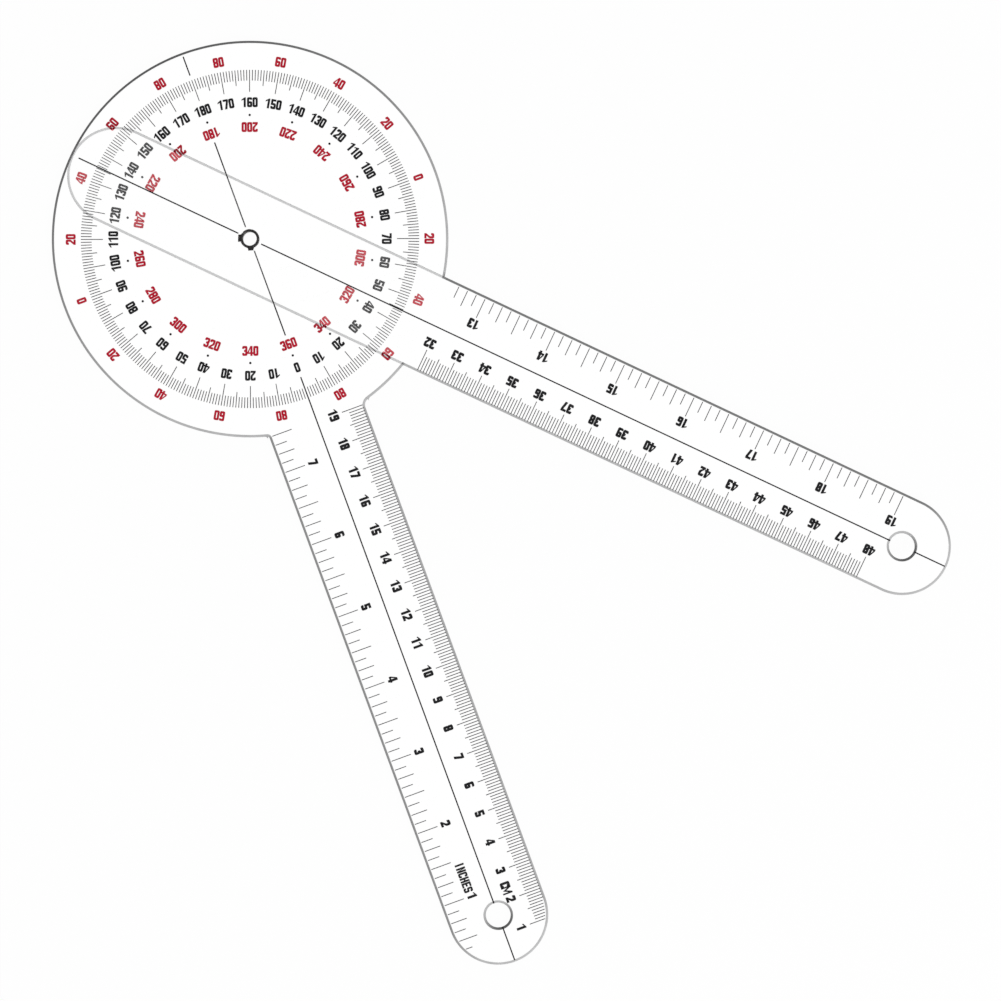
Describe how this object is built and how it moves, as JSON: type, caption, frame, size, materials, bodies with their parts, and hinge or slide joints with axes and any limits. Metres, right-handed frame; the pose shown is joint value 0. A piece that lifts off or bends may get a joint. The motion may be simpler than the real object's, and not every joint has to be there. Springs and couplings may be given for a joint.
{
  "type": "goniometer",
  "caption": "Goniometer ruler: two clear plastic arms turn on a hollow rivet over a full-circle degree dial, with inch and centimetre scales along the arms.",
  "frame": {"origin": "on the pivot axis, at the dial's front face", "axes": "+X along the fixed arm to its tip, +Z towards the reader"},
  "size_m": [0.3197, 0.2486, 0.0051],
  "materials": {
    "clear_plastic": "polished clear sheet",
    "eyelet_metal": "dark nickel plate",
    "black_ink": "screen-printed ink",
    "red_ink": "screen-printed ink"
  },
  "bodies": {
    "fixed_arm": {"dial_arm_plate": "clear_plastic", "pivot_eyelet": "eyelet_metal", "one_degree_ticks": "black_ink", "five_degree_ticks": "black_ink", "ten_degree_ticks": "black_ink", "dial_dots": "black_ink", "dial_index_line": "black_ink", "fixed_inch_ticks": "black_ink", "fixed_cm_ticks": "black_ink"},
    "moving_arm": {"moving_arm_plate": "clear_plastic", "moving_index_line": "black_ink", "moving_inch_ticks": "black_ink", "moving_cm_ticks": "black_ink"}
  },
  "joints": [
    {"name": "arm_pivot", "type": "hinge", "parent": "fixed_arm", "child": "moving_arm", "pos_m": [0, 0, 0], "axis": [0, 0, 1], "continuous": true}
  ]
}
